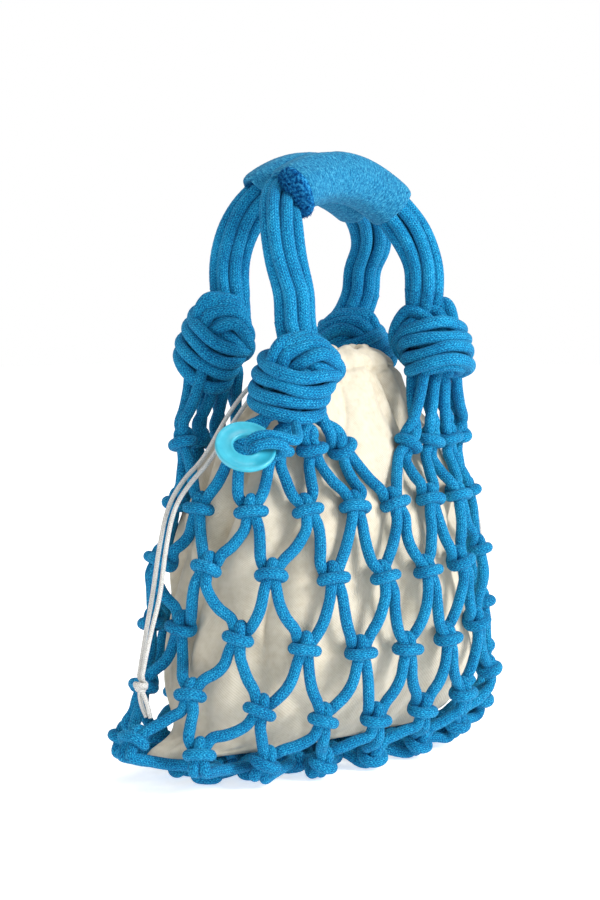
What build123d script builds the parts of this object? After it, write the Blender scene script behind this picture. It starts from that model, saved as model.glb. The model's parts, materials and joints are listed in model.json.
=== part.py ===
"""Knotted rope net bag with a drawstring pouch inside it. Millimetres, +Z up.

The origin is on the floor, under the middle of the bag. X runs along the bag's width, and the
front face looks along -Y. Sixteen columns of cord zigzag down the bag through rows of knots.
Column positions count round each row from the middle of the front (0), towards +X, so that
4 is the right end, 8 the middle of the rear and -4 the left end.
"""
from build123d import *
import math
import os

# Driving dimensions
CORD_RADIUS = 4.0
COLUMNS = 16
PLAN_EXPONENT = 2.5
# Half width, half depth, height, end lift and middle x of each row of net knots, from the top
NET_ROWS = [
    (110, 45, 203, 2, 14),
    (118, 60, 166, 0, 15),
    (122, 72, 128, 5, 14),
    (128, 74, 86, 9, 12),
    (136, 71, 47, 12, 8),
    (146, 56, 20, 11, 0),
    (108, 30, 6, 0, 2),
]
TOP_ROW_SPREAD = 0.72
KNOT_RADII = (11, 8, 7)
KNOT_ENTRY = (6, 4)
SEAM_HEIGHT = 6
SEAM_PITCH = 21
SEAM_MIDDLE = 2

# The bag leans a little: its top sits to the right of the middle of its base
TOP_MIDDLE = 14
GATHER_X = 63
GATHER_Y = 36
GATHER_HEIGHTS = {"front_left": 244, "front_right": 262, "rear_left": 265, "rear_right": 270}
GATHER_RADII = (28, 28, 31)
GATHER_ENTRY_PITCH = 11
GATHER_ENTRY_SIDE = 6
GATHER_ENTRY_DROP = 20

BUNDLE_RADIUS = 9.3
BUNDLE_TWIST = 40
LEG_ROOT_RADIUS = BUNDLE_RADIUS + CORD_RADIUS
CUP_CLEARANCE = 0.4
CUP_DEPTH = 2
HINGE_RISE = GATHER_RADII[2] + LEG_ROOT_RADIUS + CUP_CLEARANCE - CUP_DEPTH
WRAP_INNER = LEG_ROOT_RADIUS + 0.3
WRAP_OUTER = WRAP_INNER + 2
PADDING_OUTER = WRAP_OUTER + 0.6
PADDING_LENGTH = 12
PADDING_GAP = 1.2
# Handle centrelines between their two hinges: x, distance outward from the middle, height
FRONT_HANDLE_RISE = [(-51, 31, 326), (-44, 24.5, 352), (-19, 18.5, 366), (18, 17, 371),
                     (54, 18.5, 360), (71, 24, 342), (75, 30, 324)]
REAR_HANDLE_RISE = [(-48, 31, 328), (-41, 25, 345), (-21, 18.5, 361), (14, 17, 372),
                    (50, 18.5, 364), (72, 24.5, 347), (78, 31, 330)]
FRONT_GRIP_SPAN = (0.36, 0.74)
REAR_GRIP_SPAN = (0.32, 0.68)

# Half width, half depth, height and middle x of the pouch's sections, from the bottom up
POUCH_SECTIONS = [(112, 25, 19, 1), (130, 43, 36, 4), (127, 54, 62, 8), (117, 57, 100, 11),
                  (108, 54, 140, 13), (99, 45, 172, 14), (82, 33, 198, 14), (63, 24.5, 220, 14),
                  (52, 20.5, 238, 14), (46, 19, 251, 14), (41, 16, 262, 14)]

STRING_RADIUS = 1.4
STRING_BEND = 0.45
# The left drawstring's two strands, from the pouch mouth over its shoulder, through the net
LEFT_FRONT_ROUTE = [(-24, -3, 250), (-43, -5, 243), (-66, -4, 222), (-87, -2.6, 194),
                    (-103, -3, 183), (-118, -1, 168), (-124, 4, 142), (-128, 6, 115),
                    (-136, 9, 90), (-142, 10, 66)]
LEFT_REAR_ROUTE = [(-24, 3, 250), (-44, 2, 244), (-67, 3, 223), (-88, 2.6, 195),
                   (-104, 3, 184), (-118, 5, 168), (-123, 12, 143), (-127, 14, 116),
                   (-135, 12, 91), (-140, 14, 66)]
RIGHT_FRONT_ROUTE = [(52, -3, 250), (71, -4, 244), (94, -4, 223), (115, -2.6, 195),
                     (131, -3, 184), (146, -6, 169), (151, -12, 144), (156, -14, 118),
                     (163, -11, 93), (166, -9, 67)]
RIGHT_REAR_ROUTE = [(52, 3, 250), (71, 5, 243), (94, 4, 222), (115, 2.6, 194),
                    (131, 3, 183), (146, 1, 168), (152, -4, 143), (157, -5, 117),
                    (164, -8, 92), (168, -6, 67)]
STOPPER_RADII = (6, 5, 7)
STOPPER_TAIL = 18

TAG_CENTRE = (-100, -48, 206)
TAG_FACING = 44
TAG_TILT = 39
TAG_RADIUS = 19
TAG_HOLE = 7.5
TAG_THICKNESS = 3.5
TIE_RADIUS = 2.8
TIE_LOOP = 9.6
TIE_END = (-60, -54, 231)


def save(shapes, node):
    """Write one node from a list of separate solids."""
    solids = [solid for shape in shapes for solid in shape.solids()]
    export_step(Compound(children=solids), f"parts/{node}.step")


def rod(start, end, radius=CORD_RADIUS):
    """A straight round rod between two points."""
    axis = Vector(*end) - Vector(*start)
    body = Cylinder(radius, axis.length, align=(Align.CENTER, Align.CENTER, Align.MIN))
    return Plane(origin=start, z_dir=axis) * body


def ellipsoid(radii):
    """An ellipsoid about the origin."""
    return scale(Sphere(1), by=radii)


def superellipse(half_width, half_depth, turn):
    """Point of the plan outline at an angle in radians, 0 at +X."""
    c, s = math.cos(turn), math.sin(turn)
    reach = (abs(c) ** PLAN_EXPONENT + abs(s) ** PLAN_EXPONENT) ** (-1 / PLAN_EXPONENT)
    return half_width * reach * c, half_depth * reach * s


def ring_point(half_width, half_depth, column):
    """Point and tangent of the plan outline, with equal lengths of outline between columns."""
    steps = 720
    outline = [superellipse(half_width, half_depth, math.tau * (i / steps - 0.25))
               for i in range(steps + 1)]
    lengths = [0.0]
    for before, after in zip(outline, outline[1:]):
        lengths.append(lengths[-1] + math.dist(before, after))
    target = (column / COLUMNS) % 1 * lengths[-1]
    index = next(i for i in range(steps) if lengths[i + 1] >= target)
    before, after = outline[index], outline[index + 1]
    share = (target - lengths[index]) / (lengths[index + 1] - lengths[index])
    tangent = Vector(after[0] - before[0], after[1] - before[1], 0).normalized()
    return Vector(*before, 0) + share * Vector(after[0] - before[0], after[1] - before[1], 0), tangent


def corner_column(column):
    """Column of the gathering knot nearest to a column."""
    return 4 * math.floor(column / 4) + 2


def net_knot(row, column):
    """Centre and tangent of the net knot in a row, counted from 0 at the top."""
    half_width, half_depth, height, end_lift, middle = NET_ROWS[row]
    if row == 0:
        corner = corner_column(column)
        column = corner + (column - corner) * TOP_ROW_SPREAD
    point, tangent = ring_point(half_width, half_depth, column)
    lift = end_lift * (2 * (point.X / half_width) ** 2 - 1)
    return point + Vector(middle, 0, height + lift), tangent


def knot_side(row, column, side, level):
    """Where a cord enters a net knot: side -1 or 1 along the row, level 1 above or -1 below."""
    centre, tangent = net_knot(row, column)
    return centre + side * KNOT_ENTRY[0] * tangent + Vector(0, 0, level * KNOT_ENTRY[1])


def row_columns(row):
    """Columns of the knots in a row: halves in the odd rows and whole ones between."""
    shift = 0.5 if row % 2 == 0 else 0
    return [index + shift for index in range(COLUMNS)]


def gather_name(column):
    """Gathering knot that holds a column of the top row."""
    names = ["front_right", "rear_right", "rear_left", "front_left"]
    return names[math.floor((column % COLUMNS) / 4)]


def gather_centre(name):
    x = TOP_MIDDLE + (GATHER_X if "right" in name else -GATHER_X)
    y = GATHER_Y if "rear" in name else -GATHER_Y
    return Vector(x, y, GATHER_HEIGHTS[name])


def gather_exit(column, side):
    """Where a cord leaves the underside of its gathering knot, on the way to the top row."""
    centre = gather_centre(gather_name(column))
    across = -1 if centre.Y > 0 else 1
    offset = (column - corner_column(column)) * GATHER_ENTRY_PITCH * across
    outward = side * GATHER_ENTRY_SIDE * across
    return centre + Vector(offset, outward, -GATHER_ENTRY_DROP)


def seam_knot(column):
    """Knot of the base seam under a whole column: front and rear columns share one."""
    wrapped = (column + COLUMNS / 2) % COLUMNS - COLUMNS / 2
    if abs(wrapped) > 4:
        wrapped = math.copysign(8, wrapped) - wrapped
    return Vector(SEAM_MIDDLE + wrapped * SEAM_PITCH, 0, SEAM_HEIGHT)


def seam_side(column, side):
    """Where a cord enters a seam knot, from the front or the rear."""
    centre = seam_knot(column)
    wrapped = (column + COLUMNS / 2) % COLUMNS - COLUMNS / 2
    if abs(wrapped) == 4:
        return centre + Vector(0, side * math.copysign(KNOT_ENTRY[0], wrapped), 0)
    front = -1 if abs(wrapped) < 4 else 1
    return centre + Vector(-front * side * KNOT_ENTRY[0], front * 5, 0)


def column_cords(column):
    """The two cords of a column: each zigzags half a column out and back, down to the base."""
    pieces = []
    for side in (-1, 1):
        pieces.append(rod(gather_exit(column, side), knot_side(0, column, side, 1)))
        for row in range(len(NET_ROWS) - 1):
            upper = column + (0 if row % 2 == 0 else side / 2)
            lower = column + (side / 2 if row % 2 == 0 else 0)
            leaving = side if row % 2 == 0 else -side
            start = knot_side(row, upper, leaving, -1)
            end = knot_side(row + 1, lower, -leaving, 1)
            pieces.append(rod(start, end))
        centre, tangent = net_knot(len(NET_ROWS) - 1, column)
        inward = Vector(0, -math.copysign(KNOT_ENTRY[1], centre.Y), 0)
        start = centre + side * KNOT_ENTRY[0] * tangent + inward
        pieces.append(rod(start, seam_side(column + side / 2, -side)))
    return pieces


def knot_row(row):
    """Sixteen net knots, flat underneath where they rest on the floor."""
    knots = []
    for column in row_columns(row):
        centre, tangent = net_knot(row, column)
        place = Plane(origin=centre, x_dir=tangent, z_dir=(0, 0, 1))
        knots.append(above_floor(place * ellipsoid(KNOT_RADII)))
    return knots


def above_floor(shape):
    """Cut off what lies below the floor."""
    box = shape.bounding_box()
    if box.min.Z >= 0:
        return shape
    room = Box(400, 400, 100, align=(Align.CENTER, Align.CENTER, Align.MAX))
    return shape - room


def hinge_centre(name):
    return gather_centre(name) + Vector(0, 0, HINGE_RISE)


def gather_knot(name):
    """Bundle knot with a shallow cup on top for the root of the handle leg."""
    body = Pos(gather_centre(name)) * ellipsoid(GATHER_RADII)
    return body - Pos(hinge_centre(name)) * Sphere(LEG_ROOT_RADIUS + CUP_CLEARANCE)


def handle_line(side, rise):
    """Centreline of a handle, from its left hinge over to its right one."""
    sign = -1 if side == "front" else 1
    points = [hinge_centre(f"{side}_left")]
    points += [Vector(x, sign * outward, height) for x, outward, height in rise]
    points.append(hinge_centre(f"{side}_right"))
    return Spline(*points, tangents=[(0, 0, 1), (0, 0, -1)])


def handle_cords(side, rise):
    """Eight cords over the handle: one in the middle and seven twisting slowly round it."""
    line = handle_line(side, rise)
    stations = 15
    cords = []
    for index in range(8):
        points = []
        for step in range(stations):
            share = step / (stations - 1)
            tangent = line % share
            across = Vector(0, 1, 0)
            normal = tangent.cross(across).normalized()
            across = normal.cross(tangent).normalized()
            angle = math.radians(360 / 7 * index + BUNDLE_TWIST * share)
            reach = BUNDLE_RADIUS if index < 7 else 0
            points.append((line @ share) + reach * (math.cos(angle) * across + math.sin(angle) * normal))
        path = Spline(*points)
        cords.append(sweep(Plane(origin=path @ 0, z_dir=path % 0) * Circle(CORD_RADIUS), path=path))
    roots = [Pos(hinge_centre(f"{side}_{end}")) * Sphere(LEG_ROOT_RADIUS) for end in ("left", "right")]
    return cords + roots


def sleeve(line, span, inner, outer):
    """Tube round a stretch of a line, from one share of its length to another."""
    stretch = Spline(*[line @ (span[0] + (span[1] - span[0]) * i / 6) for i in range(7)])
    start = Plane(origin=stretch @ 0, z_dir=stretch % 0)
    return sweep(start * (Circle(outer) - Circle(inner)), path=stretch)


def string_cord(route):
    """A thin cord along straight runs with rounded bends."""
    runs = [math.dist(a, b) for a, b in zip(route, route[1:])]
    radii = []
    for i in range(1, len(route) - 1):
        before = (Vector(*route[i]) - Vector(*route[i - 1])).normalized()
        after = (Vector(*route[i + 1]) - Vector(*route[i])).normalized()
        half_turn = math.acos(max(-1.0, min(1.0, before.dot(after)))) / 2
        radii.append(STRING_BEND * min(runs[i - 1], runs[i]) / math.tan(half_turn))
    path = FilletPolyline(*route, radius=radii)
    print("bend radii", [round(radius) for radius in radii], "length", round(path.length))
    return sweep(Plane(origin=path @ 0, z_dir=path % 0) * Circle(STRING_RADIUS), path=path)


def stopper_knot(ends):
    """Knot that ties the ends of two strands together, with their two short tails."""
    middle = (Vector(*ends[0]) + Vector(*ends[1])) / 2 - Vector(0, 0, STOPPER_RADII[2] - 2)
    outward = math.copysign(1, middle.X - TOP_MIDDLE)
    pieces = [Pos(middle) * ellipsoid(STOPPER_RADII)]
    for side in (-1, 1):
        start = middle + Vector(0, side * 2, -3)
        end = middle + Vector(outward * 5, side * 6 + 5, -STOPPER_TAIL)
        pieces.append(rod(start, end, STRING_RADIUS))
    return pieces


def tag_axes():
    """The tag's right, up and outward directions, seen from outside the bag."""
    facing, tilt = math.radians(TAG_FACING), math.radians(TAG_TILT)
    level = Vector(-math.sin(facing), -math.cos(facing), 0)
    right = Vector(math.cos(facing), -math.sin(facing), 0)
    up = Vector(0, 0, 1) * math.cos(tilt) - level * math.sin(tilt)
    outward = level * math.cos(tilt) + Vector(0, 0, 1) * math.sin(tilt)
    return right, up, outward


def tag_pivot():
    right, _, _ = tag_axes()
    return Vector(*TAG_CENTRE) + right * (TAG_RADIUS + TAG_HOLE) / 2


def tag_ring():
    right, _, outward = tag_axes()
    disc = Cylinder(TAG_RADIUS, TAG_THICKNESS) - Cylinder(TAG_HOLE, TAG_THICKNESS)
    return Plane(origin=TAG_CENTRE, x_dir=right, z_dir=outward) * disc


def tag_tie():
    """Loop of thin cord round the ring's rim, with a tail into the front left knot."""
    right, up, _ = tag_axes()
    loop = Plane(origin=tag_pivot(), x_dir=right, z_dir=up) * Torus(TIE_LOOP, TIE_RADIUS)
    tail = rod(tag_pivot() + right * TIE_LOOP, TIE_END, TIE_RADIUS)
    return loop + tail


def pouch():
    """Stuffed pouch, drawn in to its gathered mouth."""
    faces = []
    for half_width, half_depth, height, middle in POUCH_SECTIONS:
        count = 28
        points = [superellipse(half_width, half_depth, math.tau * i / count) for i in range(count)]
        outline = Spline(*[(x + middle, y, height) for x, y in points], periodic=True)
        faces.append(make_face(outline))
    return loft(faces)


def main():
    os.makedirs("parts", exist_ok=True)
    for name in GATHER_HEIGHTS:
        save([gather_knot(name)], f"gather_knot_{name}")
    for index, column in enumerate(row_columns(0)):
        save(column_cords(column), f"net_cords_column_{index + 1:02d}")
    for row in range(len(NET_ROWS)):
        save(knot_row(row), f"net_knots_row_{row + 1}")
    seam = [above_floor(Pos(seam_knot(column)) * ellipsoid(KNOT_RADII)) for column in range(-4, 5)]
    save(seam, "base_seam_knots")
    save([pouch()], "drawstring_pouch")

    routes = {"left": (LEFT_FRONT_ROUTE, LEFT_REAR_ROUTE), "right": (RIGHT_FRONT_ROUTE, RIGHT_REAR_ROUTE)}
    for side, (front, rear) in routes.items():
        save([string_cord(front)], f"{side}_drawstring_front_strand")
        save([string_cord(rear)], f"{side}_drawstring_rear_strand")
        save(stopper_knot((front[-1], rear[-1])), f"{side}_drawstring_knot")

    for side, rise, span in (("front", FRONT_HANDLE_RISE, FRONT_GRIP_SPAN),
                             ("rear", REAR_HANDLE_RISE, REAR_GRIP_SPAN)):
        line = handle_line(side, rise)
        pad_end = span[0] - PADDING_GAP / line.length
        pad_span = (pad_end - PADDING_LENGTH / line.length, pad_end)
        save(handle_cords(side, rise), f"{side}_handle_cords")
        save([sleeve(line, span, WRAP_INNER, WRAP_OUTER)], f"{side}_grip_wrap")
        save([sleeve(line, pad_span, WRAP_INNER, PADDING_OUTER)], f"{side}_grip_padding")

    save([tag_ring()], "tag_ring")
    save([tag_tie()], "tag_tie")


main()
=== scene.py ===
"""Looks of a knotted rope net bag: braided cords and knots, grips, pouch, drawstrings and tag."""

import json
import math
import random
from collections import defaultdict

import bmesh
import bpy
import numpy as np
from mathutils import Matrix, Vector, noise


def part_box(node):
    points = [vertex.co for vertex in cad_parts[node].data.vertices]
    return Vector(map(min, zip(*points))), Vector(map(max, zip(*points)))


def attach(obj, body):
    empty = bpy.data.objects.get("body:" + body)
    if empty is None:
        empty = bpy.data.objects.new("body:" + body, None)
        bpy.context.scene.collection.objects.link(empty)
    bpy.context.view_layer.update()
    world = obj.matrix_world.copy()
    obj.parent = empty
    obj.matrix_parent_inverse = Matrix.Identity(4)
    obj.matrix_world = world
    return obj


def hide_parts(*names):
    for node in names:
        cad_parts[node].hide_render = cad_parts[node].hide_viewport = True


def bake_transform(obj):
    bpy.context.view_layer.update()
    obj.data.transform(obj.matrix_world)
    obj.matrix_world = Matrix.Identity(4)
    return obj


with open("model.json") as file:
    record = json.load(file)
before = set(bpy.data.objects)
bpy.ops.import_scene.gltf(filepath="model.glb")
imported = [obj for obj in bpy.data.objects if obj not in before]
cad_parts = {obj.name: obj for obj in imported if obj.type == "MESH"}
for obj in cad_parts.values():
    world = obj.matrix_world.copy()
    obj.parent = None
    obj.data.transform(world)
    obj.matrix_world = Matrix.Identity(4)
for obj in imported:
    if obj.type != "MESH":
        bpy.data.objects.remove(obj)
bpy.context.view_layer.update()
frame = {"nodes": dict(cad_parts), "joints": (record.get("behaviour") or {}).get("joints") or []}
random.seed(7)
MM = 0.001

# Cords
CORD_RADIUS = 4.0 * MM
NET_CORD_RADIUS = 3.6 * MM
KNOT_CORD_RADIUS = 3.45 * MM
CORD_SIDES = 20
CORD_STEP = 1.0 * MM
STITCH_COLUMNS = 16
STITCH_LENGTH = 1.9 * MM
RELIEF = 0.018
STRING_RADIUS = 1.4 * MM
STRING_SIDES = 10
STRING_STEP = 0.7 * MM
TIE_RADIUS = 3.2 * MM
FLOOR_REST = 3.2 * MM
FLOOR_SOFTNESS = 0.4

# Net
COLUMNS = 16
ROWS = 7
# How far the left and the right end of a row have drawn in towards its middle, in millimetres
DRAWN_IN = {2: (9, 9), 3: (0, 9), 4: (7, 8), 5: (5, 0)}
GATHER_NAMES = ("front_right", "rear_right", "rear_left", "front_left")
UP = np.array((0, 0, 1.0))

# One cord of a net knot wraps round the other: along the row, outward and up, in millimetres
WRAP_CORD = [(-7, 0, 9.5), (-4.6, -2.6, 5), (0.5, -5, 1.2), (5.8, -3.6, -0.4), (7.2, 0.6, -0.8),
             (4.8, 5.2, -0.8), (-4.8, 5.2, -1), (-7.2, 0.4, -1), (-5.2, -4.4, -0.6), (-1, -5.4, 3.6),
             (0.3, -2.2, 7.4), (0.3, 2, 7), (-0.6, 2.4, 2), (-2.6, 0.4, -5), (-3.9, 0, -10.5)]
PLAIN_CORD = [(7, 0, 9.5), (4, 0.4, 4.5), (1.2, 0.8, 0), (2.6, 0.4, -5), (3.9, 0, -10.5)]

# Bundle of eight cords through a gathering knot: across, outward and up, in millimetres, with the
# direction in which the bundle is wide there, and how far it is from a round bundle (0) to a
# flat one of four by two cords (1)
GATHER_LINE = [
    ((0, 3, 50), (1, 0, 0), 0.0), ((0, 3, 36), (1, 0, 0), 0.0),
    ((1, 4, 23), (1, 0, 0.1), 0.1), ((6, 8, 12), (0.8, 0, 0.5), 0.5),
    ((17, 4, 3), (0.3, 0, 1), 0.9), ((16, -10, -3), (0, 0, 1), 1.0),
    ((6, -18, -7), (0, 0, 1), 1.0), ((-6, -18, -8), (0, 0, 1), 1.0),
    ((-16, -9, -8), (0, 0, 1), 1.0), ((-17, 7, -5), (0, 0, 1), 1.0),
    ((-6, 18, 0), (0, 0, 1), 1.0), ((9, 17, 9), (-0.2, 0, 1), 1.0),
    ((16, 3, 17), (-0.9, 0, 0.8), 0.9), ((6, -8, 22), (-1, 0.2, 0.3), 0.8),
    ((-6, -12, 14), (-1, 0, -0.2), 0.6), ((-7, -7, 0), (-1, 0, 0), 0.3),
    ((-1, -1, -14), (-1, 0, 0), 0.6),
]
ROUND_PITCH = 9.0
FLAT_PITCH = 8.0
EXIT_PITCH = 10
EXIT_SIDE = 5
EXIT_DROP = 27
EXIT_RISE = 6
# Each gathering knot's turn about its upright axis, forward tilt and roll in degrees, whether it is
# mirrored, and how wide and how tall it is
GATHER_LOOKS = {"front_left": (-44, 4, 16, 1, 0.98, 1.02), "front_right": (-44, -24, 14, -1, 0.92, 1.08),
                "rear_left": (-56, 4, 32, 1, 0.80, 1.18), "rear_right": (-20, 0, 25, -1, 0.92, 0.85)}
GATHER_DEPTH = 31 * MM
# How far to the right of its knot's middle each handle leg goes in, and how far a knot has sunk
LEG_SHIFT = {"front_left": 0, "front_right": -9, "rear_left": 12, "rear_right": 8}
LEG_SHARES = (1, 1, 0.7, 0.2)
KNOT_SINK = {"rear_right": 9 * MM}
# A top-row knot leans towards a point this far under its gathering knot's middle
AIM_DROP = 25 * MM

# Way of a net cord through its knot in the base seam, after the point where it comes down to it:
# along, outward and up, in millimetres
SEAM_ENTRY = (5.5, 10, 1)
SEAM_CORD = [(3.5, 4, 4.5), (-1, -4, 3.5), (-5, -1, -0.5), (1, 6, -1.5)]

# Handle centrelines between their hinges: x, distance outward from the middle, height
OUTWARD = {"front": -1, "rear": 1}
LEG_ROOT_RISE = 42.7
FRAME_STEP = 4 * MM
HANDLE_RISE = {
    "front": [(-50.5, 34, 308), (-56, 30, 334), (-49, 25, 351), (-19, 18.5, 365), (18, 17, 367.5),
              (45, 19, 357), (60, 24, 342), (68, 31, 322)],
    "rear": [(-37, 32, 324), (-35, 27, 343), (-21, 19.5, 359), (14, 17, 370),
             (50, 18.5, 361), (76, 23, 346), (88, 30, 328), (87, 34, 312)],
}
GRIP_SPAN = {"front": (0.345, 0.78), "rear": (0.255, 0.70)}
# The cords give way to the padding's end, on the rear handle less: how far, how much narrower,
# and over what share of the handle
PAD_SHARE = {"front": 1.0, "rear": 0.2}
PAD_PUSH = 8 * MM
PAD_SQUEEZE = 0.3
PAD_REACH = 0.07
BUNDLE_RADIUS = 9.3 * MM
BUNDLE_TWIST = math.radians(40)
GRIP_RADIUS = 15.4 * MM
GRIP_STEP = 0.4 * MM
GRIP_SIDES = 96
YARN_PITCH = 1.3 * MM
FIBRES = 3200

# Drawstrings: the routes of part.py in millimetres, with their lower points up to 10 mm off
STRING_ROUTES = {
    "left_drawstring_front_strand": [
        (-24, -3, 250), (-43, -5, 243), (-66, -4, 222), (-87, -2.6, 194), (-103, -3, 183),
        (-118, -4, 168), (-123, -2, 142), (-127, -2, 115), (-134, 0, 91), (-139, 1, 68)],
    "left_drawstring_rear_strand": [
        (-24, 3, 250), (-44, 2, 244), (-67, 3, 223), (-88, 2.6, 195), (-104, 3, 184),
        (-118, 2, 168), (-122, 5, 143), (-126, 6, 116), (-133, 5, 92), (-138, 5, 68)],
    "right_drawstring_front_strand": [
        (52, -3, 250), (71, -4, 244), (94, -4, 223), (115, -2.6, 195), (131, -3, 184),
        (146, -6, 169), (152, -10, 144), (156, -10, 118), (157, -7, 93), (158, -3, 67)],
    "right_drawstring_rear_strand": [
        (52, 3, 250), (71, 5, 243), (94, 4, 222), (115, 2.6, 194), (131, 3, 183),
        (146, 1, 168), (152, -3, 143), (157, -3, 117), (158, -3, 92), (160, 0, 67)],
}

# Light from all round, the floor's own light, and lamps: place, size and power
STUDIO_LIGHT = 0.56
FLOOR_LIGHT = 0.62
LAMPS = (("key", (0.5, -1.6, 1.0), 0.7, 33), ("top", (0.3, 0.4, 2.0), 1.0, 10),
         ("side", (-1.7, -0.3, 0.8), 1.0, 3))

# Camera
VIEW_AZIMUTH = math.radians(-44.2)
VIEW_ELEVATION = math.radians(4.2)
VIEW_DISTANCE = 1.36
VIEW_TARGET = Vector((0.0022, 0.0114, 0.1957))
LENS = 85


# ---- mesh helpers
def new_object(name, vertices, faces, uvs=None, smooth=True):
    """A mesh object from arrays: four-cornered faces, and one UV for each face corner."""
    mesh = bpy.data.meshes.new(name)
    vertices = np.asarray(vertices, np.float32)
    faces = np.asarray(faces, np.int32)
    mesh.vertices.add(len(vertices))
    mesh.vertices.foreach_set("co", vertices.ravel())
    mesh.loops.add(faces.size)
    mesh.loops.foreach_set("vertex_index", faces.ravel())
    mesh.polygons.add(len(faces))
    mesh.polygons.foreach_set("loop_start", np.arange(len(faces), dtype=np.int32) * faces.shape[1])
    if uvs is not None:
        layer = mesh.uv_layers.new(name="UVMap")
        layer.data.foreach_set("uv", np.asarray(uvs, np.float32).reshape(-1))
    mesh.update(calc_edges=True)
    mesh.validate()
    mesh.polygons.foreach_set("use_smooth", np.full(len(mesh.polygons), smooth))
    obj = bpy.data.objects.new(name, mesh)
    bpy.context.scene.collection.objects.link(obj)
    return obj


class Tubes:
    """Collects tube walls and caps, and makes one object of them."""

    def __init__(self):
        self.vertices, self.faces, self.uvs = [], [], []
        self.count = 0

    def add_rings(self, rings, lengths, cap_start=False, cap_end=False):
        """Walls between rings of points. lengths is each ring's distance along the cord."""
        steps, sides, _ = rings.shape
        index = self.count + np.arange(steps * sides).reshape(steps, sides)
        following = np.roll(index, -1, axis=1)
        around = np.arange(sides + 1) / sides
        here, after = [np.stack(np.meshgrid(lengths, part, indexing="ij"), -1)
                       for part in (around[:-1], around[1:])]
        quads, corner = [np.stack([a[:-1], b[:-1], b[1:], a[1:]], axis=2)
                         for a, b in ((index, following), (here, after))]
        self.vertices.append(rings.reshape(-1, 3))
        self.faces.append(quads.reshape(-1, 4))
        self.uvs.append(corner.reshape(-1, 2))
        self.count += steps * sides
        for wanted, end in ((cap_start, 0), (cap_end, -1)):
            if wanted:
                self.add_cap(rings[end], lengths[end], flip=bool(cap_start))

    def add_cap(self, ring, place, flip):
        """A shallow dome of quads over an open end."""
        centre = ring.mean(axis=0)
        scales = (1.0, 0.55, 0.05)
        layers = np.stack([centre + (ring - centre) * scale for scale in scales])
        self.add_rings(layers if not flip else layers[:, ::-1], np.full(len(scales), place))

    def build(self, name):
        return new_object(name, np.concatenate(self.vertices), np.concatenate(self.faces),
                          np.concatenate(self.uvs))


def turns_of(sides):
    """Angles of the corners of a ring."""
    return np.arange(sides) * math.tau / sides


def distances(line):
    """Each point's distance along a line."""
    return np.concatenate([[0], np.cumsum(np.linalg.norm(np.diff(line, axis=0), axis=1))])


def resampled(line, lengths, at):
    """Points of a line at the given distances along it."""
    return np.stack([np.interp(at, lengths, line[:, axis]) for axis in range(3)], axis=1)


def smooth_line(points, spacing, relax=6):
    """Evenly spaced points on a smooth curve through control points, and each one's place among
    the control points."""
    points = np.asarray(points, float)
    padded = np.vstack([2 * points[0] - points[1], points, 2 * points[-1] - points[-2]])
    gaps = np.sqrt(np.maximum(np.linalg.norm(np.diff(padded, axis=0), axis=1), 1e-6))
    knots = np.concatenate([[0], np.cumsum(gaps)])
    samples, places = [], []
    share = np.linspace(0, 1, 13)[:-1]
    for i in range(1, len(padded) - 2):
        t = (knots[i] + share * (knots[i + 1] - knots[i]))[:, None]
        k = knots[i - 1:i + 3]

        def mix(a, b, low, high):
            return ((k[high] - t) * a + (t - k[low]) * b) / (k[high] - k[low])

        first, second, third = [mix(padded[i - 1 + j], padded[i + j], j, j + 1) for j in range(3)]
        samples.append(mix(mix(first, second, 0, 2), mix(second, third, 1, 3), 1, 2))
        places.append(i - 1 + share)
    samples = np.vstack(samples + [points[-1:]])
    places = np.concatenate(places + [[len(points) - 1]])
    lengths = distances(samples)
    at = np.linspace(0, lengths[-1], max(3, int(round(lengths[-1] / spacing)) + 1))
    line = resampled(samples, lengths, at)
    for _ in range(relax):
        line[1:-1] += 0.5 * ((line[:-2] + line[2:]) / 2 - line[1:-1])
    return line, np.interp(at, lengths, places)


def unit(vector):
    return vector / np.linalg.norm(vector)


def tangents_of(line):
    """Direction of a line at each of its points."""
    tangents = np.gradient(line, axis=0)
    return tangents / np.linalg.norm(tangents, axis=1)[:, None]


def cross_directions(line):
    """Two steady directions across a line at each of its points."""
    tangents = tangents_of(line)
    across = [unit(np.cross(tangents[0], (0.31, 0.87, 0.38)))]
    for tangent in tangents[1:]:
        across.append(unit(across[-1] - tangent * np.dot(across[-1], tangent)))
    across = np.array(across)
    return across, np.cross(tangents, across)


def rings_round(line, reach, turns, across, up):
    """Rings of points round a line, each as far from it as reach says."""
    turns = turns[None, :, None]
    circle = np.cos(turns) * across[:, None, :] + np.sin(turns) * up[:, None, :]
    return line[:, None, :] + reach[..., None] * circle


def braided_rings(line, radii, sides):
    """Rings round a line whose radius rises and falls a little, like soft braid."""
    turns = turns_of(sides)
    steps = np.arange(len(line))[:, None]
    wave = np.sin(steps * 1.9 + 4 * turns) * np.sin(steps * 0.53 - 3 * turns)
    reach = np.broadcast_to(radii, len(line))[:, None] * (1 + RELIEF * wave)
    return rings_round(line, reach, turns, *cross_directions(line))


def cord_mesh(name, line, radius, sides, step):
    tubes = Tubes()
    tubes.add_rings(braided_rings(line, radius, sides), np.arange(len(line)) * step, True, True)
    return tubes.build(name)


# ---- places from the frame
def solid_centres(node):
    """Middle of each separate solid of a CAD node."""
    bm = bmesh.new()
    bm.from_mesh(frame["nodes"][node].data)
    bmesh.ops.remove_doubles(bm, verts=bm.verts, dist=0.01 * MM)
    seen, centres = set(), []
    for start in bm.verts:
        if start in seen:
            continue
        island = [start]
        seen.add(start)
        for vertex in island:
            others = {edge.other_vert(vertex) for edge in vertex.link_edges} - seen
            island.extend(others)
            seen |= others
        corners = np.array([vertex.co for vertex in island])
        centres.append((corners.min(axis=0) + corners.max(axis=0)) / 2)
    bm.free()
    return centres


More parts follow.
